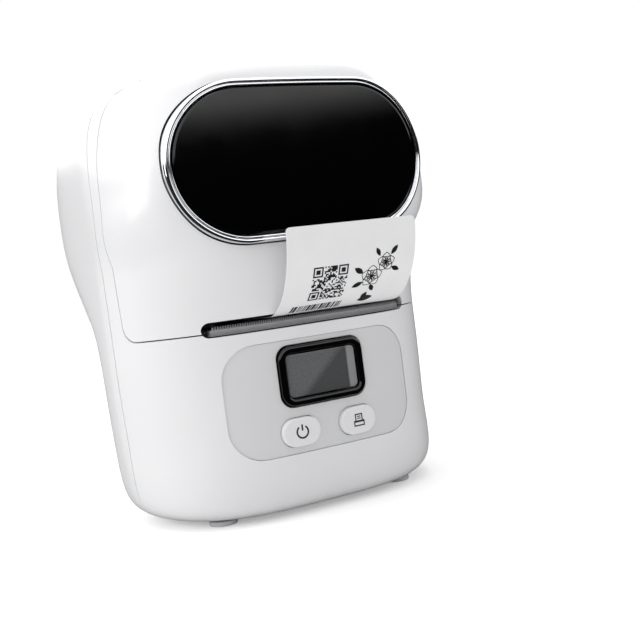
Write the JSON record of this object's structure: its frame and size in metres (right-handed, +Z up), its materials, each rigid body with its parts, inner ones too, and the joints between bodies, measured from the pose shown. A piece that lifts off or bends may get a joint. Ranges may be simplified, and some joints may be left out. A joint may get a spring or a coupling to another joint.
{
  "type": "thermal label printer",
  "caption": "Compact upright thermal label printer: rounded white case, lid with wide black window, exit slot with tear bar, small display and buttons, label strip fed out.",
  "frame": {"origin": "centre of the bounding box at the plane that the feet rest on", "axes": "+Z up, -Y towards the user, out of the exit slot side, +X to the right of someone facing the printer"},
  "size_m": [0.0864, 0.0884, 0.1095],
  "materials": {
    "case_white": "satin gloss white moulded plastic, very fine texture",
    "panel_white": "satin light grey-white plastic inlay",
    "inner_grey": "matte mid-grey moulded plastic",
    "gloss_black": "deep black polished plastic",
    "matte_black": "matte black plastic",
    "display_grey": "dark grey polished display cover",
    "chrome": "bright chrome plating",
    "steel": "brushed sheet steel",
    "aluminium": "satin aluminium",
    "pale_rubber": "matte light grey rubber",
    "rubber": "matte black rubber",
    "board_green": "green solder mask",
    "gear_white": "natural white gear plastic",
    "battery_blue": "blue shrink wrap",
    "paper": "smooth coated white label paper",
    "core_card": "plain grey-brown card"
  },
  "bodies": {
    "base": {"rear_shell": "case_white", "front_shell": "case_white", "control_panel": "panel_white", "display_bezel": "gloss_black", "display_glass": "display_grey", "lcd_module": "steel", "power_switch": "matte_black", "feed_switch": "matte_black", "tear_bar": "steel", "exit_throat": "matte_black", "foot_1": "pale_rubber", "foot_2": "pale_rubber", "foot_3": "pale_rubber", "foot_4": "pale_rubber", "screw_1": "steel", "screw_2": "steel", "screw_3": "steel", "screw_4": "steel", "main_pcb": "board_green", "battery_pack": "battery_blue", "usb_socket": "steel", "hinge_pin": "steel", "gear_plate": "steel", "idler_shaft": "steel", "stepper_motor": "aluminium", "head_spring": "steel", "gap_sensor": "matte_black", "paper_bin": "inner_grey", "right_guide": "inner_grey", "guide_rail": "steel", "label_web": "paper"},
    "lid": {"lid_shell": "case_white", "window_ring": "chrome", "window_lens": "gloss_black", "lid_liner": "inner_grey", "platen_frame": "steel", "platen_bushing_left": "gear_white", "platen_bushing_right": "gear_white", "label_strip": "paper"},
    "platen": {"platen_rubber": "rubber", "platen_shaft": "steel", "platen_gear": "gear_white"},
    "idler": {"idler_gear": "gear_white"},
    "pinion": {"motor_pinion": "steel", "motor_shaft": "steel"},
    "roll": {"label_roll": "paper", "roll_core": "core_card"},
    "head": {"print_head": "matte_black", "head_heatsink": "aluminium"},
    "guide": {"paper_guide": "inner_grey"},
    "power_button": {"power_button": "case_white"},
    "feed_button": {"feed_button": "case_white"}
  },
  "joints": [
    {"name": "lid_hinge", "type": "hinge", "parent": "base", "child": "lid", "pos_m": [0, -0.0108, 0.1075], "axis": [-1, 0, 0], "range_deg": [0, 80]},
    {"name": "platen_spin", "type": "hinge", "parent": "lid", "child": "platen", "pos_m": [0, -0.0168, 0.0529], "axis": [1, 0, 0], "continuous": true},
    {"name": "roll_spin", "type": "hinge", "parent": "base", "child": "roll", "pos_m": [0, 0.0127, 0.0811], "axis": [1, 0, 0], "continuous": true},
    {"name": "idler_spin", "type": "hinge", "parent": "base", "child": "idler", "pos_m": [-0.0288, -0.00785, 0.05192], "axis": [1, 0, 0], "continuous": true},
    {"name": "pinion_spin", "type": "hinge", "parent": "base", "child": "pinion", "pos_m": [-0.0288, -0.0029, 0.04697], "axis": [1, 0, 0], "continuous": true},
    {"name": "head_float", "type": "slide", "parent": "base", "child": "head", "axis": [0, 1, 0], "range_m": [0, 0.0006], "stiffness_N_per_m": 1500, "springref_m": -0.0004},
    {"name": "guide_slide", "type": "slide", "parent": "base", "child": "guide", "axis": [-1, 0, 0], "range_m": [0, 0.012]},
    {"name": "power_press", "type": "slide", "parent": "base", "child": "power_button", "axis": [0, 1, 0], "range_m": [0, 0.0006], "stiffness_N_per_m": 500, "springref_m": -0.0003},
    {"name": "feed_press", "type": "slide", "parent": "base", "child": "feed_button", "axis": [0, 1, 0], "range_m": [0, 0.0006], "stiffness_N_per_m": 500, "springref_m": -0.0003}
  ],
  "couplings": [
    {"joint": "platen_spin", "follows": "roll_spin", "ratio": -4.4186},
    {"joint": "idler_spin", "follows": "roll_spin", "ratio": 5.5232},
    {"joint": "pinion_spin", "follows": "roll_spin", "ratio": -7.3643}
  ]
}
